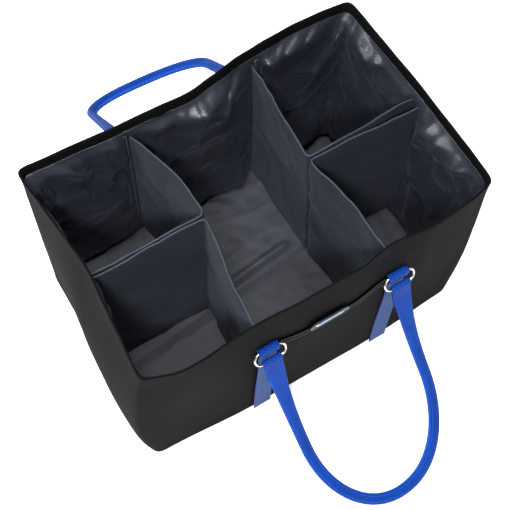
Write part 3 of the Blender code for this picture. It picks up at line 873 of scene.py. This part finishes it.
def make_handle(end):
    """A handle: webbing sewn flat at each ring and folded round into a grip between them."""
    _, hinge = hinge_lines(end)
    spread = (STRAP_X["right"] - STRAP_X["left"]) / 2
    plan = resampled(handle_route(end, spread), 0.003)
    plan = eased(plan, 6)
    plan[0, 1] = plan[-1, 1] = 0.0024
    length = lengths_along(plan)
    run = unit(np.gradient(plan, axis=0))
    origin = np.array((STRAP_MIDDLE, *hinge))
    centres, sides, normals, sections = [], [], [], []
    for (across, far), (run_x, run_y), here in zip(plan, run, length):
        place, outward = droop(end, far)
        from_end = min(here, length[-1] - here)
        twist = TWIST[end] * float(ramp(0.05, 0.20, from_end))
        side, normal = np.array((1, 0, 0)) * run_y - outward * run_x, np.cross((1, 0, 0), outward)
        centres.append(origin + place + (across, 0, 0))
        sides.append(side * math.cos(twist) + normal * math.sin(twist))
        normals.append(normal * math.cos(twist) - side * math.sin(twist))
        sections.append(grip_section(1 - (1 - np.clip((from_end - FLAT_END) / TAPER, 0, 1)) ** 2.2))
    obj = sweep(f"{end}_handle_grip", np.array(centres), sides, normals, sections)
    dress(obj, BLUE, "webbing", f"{end}_handle", body=f"{end}_handle")
    rows = [[], []]
    for c, side, n, sec in zip(centres, sides, normals, sections):
        share = (WEBBING - 2 * sec[0][0]) / (WEBBING - GRIP_WIDTH)
        for row, w in zip(rows, (0.80, -0.80)):
            row.append(c + side * (w * sec[0][0]) + n * (sec[7][1] * (0.95 - 0.18 * share) + 0.0005))
    rows = [row[12:-12] for row in rows]
    stitches(f"{end}_handle_edge_stitches", rows, lambda p: (0, 0, 1), 0.0030, 0.0014, 0.0006, BLUE_THREAD,
             "webbing", f"{end}_handle")
    for hand, sign in (("left", -1), ("right", 1)):
        make_handle_end(end, hand, origin + np.array((sign * spread, 0, 0)))


def make_handle_end(end, hand, centre):
    """Webbing that comes round a ring's lower bar and back along the handle, sewn down with a crossed box."""
    def above(out, lift, across=0.0):
        place, outward = droop(end, out)
        return centre + place + np.cross((1, 0, 0), outward) * lift + np.array((across, 0, 0))

    _, outward = droop(end, 0.0)
    normal = np.cross((1, 0, 0), outward)
    radius = LOOP_RADIUS + 0.0012
    line = [above(out, 0.0021) for out in np.linspace(0.034, 0.012, 9)]
    line += [centre + outward * radius * math.cos(a) + normal * radius * math.sin(a)
             for a in np.linspace(0.8, math.tau - 0.6, 24)]
    line += [above(0.014, -0.0012)]
    loop = tape(f"{end}_handle_{hand}_loop", resampled(line, 0.0014), (1, 0, 0), WEBBING - 0.0006, 0.0019)
    dress(loop, BLUE, "webbing", body=f"{end}_handle")
    half, near, far = 0.0095, 0.0120, 0.0315
    box = [(-half, near), (half, near), (half, far), (-half, far), (-half, near), (half, far), (half, near),
           (-half, far)]
    path = [above(out, 0.0032, across) for across, out in resampled(box, 0.002)]
    stitches(f"{end}_handle_{hand}_box_stitches", [path], lambda p: normal, 0.0030, 0.0012, 0.0005,
             BLUE_THREAD, "webbing", f"{end}_handle")


# Stitching


def stitches(name, lines, normal_of, length, gap, radius, material, slot, body="caddy"):
    """One short thread after another along each line, standing proud of the cloth."""
    verts, faces = [], []
    for line in lines:
        line = np.asarray(line, float)
        total = lengths_along(line)
        for start in np.arange(gap / 2, total[-1] - length, length + gap):
            places = np.array([np.interp([start, start + length / 2, start + length], total, line[:, k])
                               for k in range(3)]).T
            lift = np.asarray(normal_of(places[1]), float)
            side = np.cross(unit(places[2] - places[0]), lift)
            first = len(verts)
            for place, size, height in zip(places, (0.5, 1.0, 0.5), (-0.3, 0.6, -0.3)):
                for a in np.linspace(0, math.tau, 6, endpoint=False):
                    around = side * math.cos(a) + lift * math.sin(a)
                    verts.append(place + radius * (size * around + lift * height))
            for low in (first, first + 6):
                for k in range(6):
                    m = (k + 1) % 6
                    faces.append([low + k, low + m, low + 6 + m, low + 6 + k])
            faces += [[first + k for k in reversed(range(6))], [first + 12 + k for k in range(6)]]
    return dress(new_object(name, verts, faces), material, slot, body=body)


# Pocket and badge


def make_pocket():
    """The slip pocket between the front straps, its top edge folded and standing a little open."""
    half = (STRAP_X["right"] - STRAP_X["left"]) / 2 - WEBBING / 2 - 0.0004
    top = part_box("front_pocket_panel")[1].z
    across = np.linspace(-half, half, 52)
    heights = np.concatenate([np.linspace(0.008, top - 0.016, 34), np.linspace(top - 0.013, top, 6)])
    points = np.zeros((len(heights), len(across), 3))
    points[..., 0] = STRAP_MIDDLE + across
    points[..., 2] = heights[:, None]
    share = np.cos(math.pi * across / half / 2)[None, :] ** 0.7
    open_by = 0.0005 * ramp(top * 0.5, top, points[..., 2]) * share + 0.0008
    hem = 0.0004 * ramp(top - 0.016, top - 0.012, points[..., 2])
    wrinkle = 0.0008 * bumps(points, 0.05, 71.0) * share
    points[..., 1] = long_wall_y("front", points[..., 0], points[..., 2]) - open_by - hem - np.abs(wrinkle)
    obj = grid_mesh("front_pocket_cloth", points, across, heights)
    soften(thicken(obj, POCKET_THICK))
    dress(obj, SHELL, "shell", "front_pocket_panel")
    rows = []
    for below in (0.0025, 0.0125):
        z = top - below
        face = [float(np.interp(z, heights, column)) - 0.0004 for column in points[..., 1].T]
        rows.append([(STRAP_MIDDLE + a, y, z) for a, y in zip(across, face)])
    row = stitches(
        "pocket_hem_stitches", rows, lambda p: (0, -1, 0.05), 0.0030, 0.0010, 0.00045, THREAD, "shell"
    )
    return float(points[-4, len(across) // 2, 1])


def stadium(half_length, half_height):
    """The outline of a bar with round ends."""
    straight = half_length - half_height
    arc = np.linspace(-math.pi / 2, math.pi / 2, 13)
    right = [(straight + half_height * math.cos(a), half_height * math.sin(a)) for a in arc]
    return right + [(-x, -y) for x, y in right]


def make_badge(cloth_y):
    """A blank moulded badge with a raised edge and a bright band set into it."""
    low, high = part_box("badge_plate")
    middle = (low + high) / 2
    half_length = (high.x - low.x) / 2
    half_height = (high.z - low.z) / 2
    lean = math.atan2(-rim_low.y - BASE_Y, HEIGHT)
    raised_edge = [(1.0, 0.0), (1.0, 0.0016), (0.95, 0.0022), (0.86, 0.0022), (0.80, 0.0014), (0.0, 0.0014)]
    band = [(1.0, 0.0010), (0.98, 0.0019), (0.90, 0.0022), (0.0, 0.0022)]
    layers = [("badge_body", 1.0, raised_edge, BADGE, "badge", "badge_plate"),
              ("badge_bright_band", 0.72, band, STRIP, "badge_strip", "badge_strip")]
    for name, size, profile, material, slot, node in layers:
        rings = []
        for share, lift in profile:
            shrink = half_height * size * (1 - share)
            loop = stadium(
                max(half_length * size - shrink, 0.001), max(half_height * size ** 4 - shrink, 0.0002)
            )
            rings.append([(middle.x + a, cloth_y - lift - b * math.sin(lean), middle.z + b) for a, b in loop])
        points = np.array(rings)
        along = np.linspace(0, 0.12, points.shape[1] + 1)
        obj = grid_mesh(name, points, along, [0.004 * i for i in range(len(profile))], closed=True)
        thicken(obj, 0.0004, even=False)
        dress(obj, material, slot, node)


# Build


shell = make_shell()
lining, lining_pins = make_lining()
floor = make_floor()
set_cloth(lining, lining_pins, grow=0.03, gravity=0.5, bending=0.08)
run_cloth({lining: LINING_GIVE}, CLOTH_FRAMES)
dress(soften(thicken(shell, SHELL_THICK)), SHELL, "shell", "front_panel", "rear_panel", "left_end_panel",
      "right_end_panel")
dress(soften(thicken(lining, LINING_THICK, even=False)), LINING, "lining", "lining_front", "lining_rear",
      "lining_left", "lining_right")
dress(soften(thicken(floor, LINING_THICK)), BOARDED, "lining", "floor_cover")
hem = dress(make_hem(), SHELL, "shell", "rim_facing")
base = dress(make_base(), SHELL, "shell", "bottom_panel")
seam_strips = []
for divider, divider_plan in DIVIDERS.items():
    dress(make_divider(divider, divider_plan), BOARDED, "lining", f"{divider}_divider_cover",
          f"{divider}_divider_board", f"{divider}_cross_board")
    seam_strips += make_seam_strip(divider_plan, divider)
for end_name in OUT:
    for hand_name in STRAP_X:
        make_strap(end_name, hand_name)
        make_ring(end_name, hand_name)
    make_handle(end_name)
make_badge(make_pocket() - POCKET_THICK - 0.0002)
cad_materials = {"floor_board_front": BOARD, "floor_board_rear": BOARD, "lining_floor": LINING}
for node_name, cad_material in cad_materials.items():
    node_object = frame["nodes"][node_name]
    node_object.data.materials.clear()
    node_object.data.materials.append(cad_material)


# Floor, light and camera


def make_stage():
    size = 6.0
    corners = [(-size, -size, 0), (size, -size, 0), (size, size, 0), (-size, size, 0)]
    stage = new_object("studio_floor", corners, [(0, 1, 2, 3)])
    material, _, shader = new_material("studio_floor", (0.92, 0.92, 0.92), 0.9)
    shader.inputs["Specular IOR Level"].default_value = 0.1
    shader.inputs["Emission Color"].default_value = (1, 1, 1, 1)
    shader.inputs["Emission Strength"].default_value = 0.65
    stage.data.materials.append(material)


def area_light(name, place, aim, size, power):
    data = bpy.data.lights.new(name, "AREA")
    data.shape = "SQUARE"
    data.size = size
    data.energy = power
    light = bpy.data.objects.new(name, data)
    light.location = place
    light.rotation_mode = "QUATERNION"
    light.rotation_quaternion = (Vector(aim) - Vector(place)).to_track_quat("-Z", "Y")
    bpy.context.scene.collection.objects.link(light)


def make_light():
    world = bpy.data.worlds.new("studio")
    world.use_nodes = True
    world.node_tree.nodes["Background"].inputs["Color"].default_value = (1, 1, 1, 1)
    world.node_tree.nodes["Background"].inputs["Strength"].default_value = 0.17
    bpy.context.scene.world = world
    area_light("top_softbox", (-0.22, -0.10, 2.0), (0, 0, 0.05), 0.4, 28)
    area_light("front_softbox", (-0.65, -1.0, 1.9), (0, 0, 0.12), 0.25, 36)
    area_light("rear_softbox", (0.35, 0.75, 1.7), (0, 0, 0.05), 0.4, 10)
    area_light("side_softbox", (-1.3, 0.1, 1.3), (0, 0, 0.2), 0.38, 17)


def make_camera():
    azimuth, elevation, distance = math.radians(-31.39), math.radians(65.26), 1.388
    aim = Vector((-0.005, -0.019, 0.12))
    back = Vector((math.sin(azimuth) * math.cos(elevation), -math.cos(azimuth) * math.cos(elevation),
                   math.sin(elevation)))
    data = bpy.data.cameras.new("camera")
    data.lens = 77.1
    data.sensor_width = 36
    camera = bpy.data.objects.new("camera", data)
    camera.location = aim + back * distance
    camera.rotation_mode = "QUATERNION"
    camera.rotation_quaternion = (-back).to_track_quat("-Z", "Y")
    bpy.context.scene.collection.objects.link(camera)
    bpy.context.scene.camera = camera


make_stage()
make_light()
make_camera()
bpy.context.scene.view_settings.view_transform = "Standard"
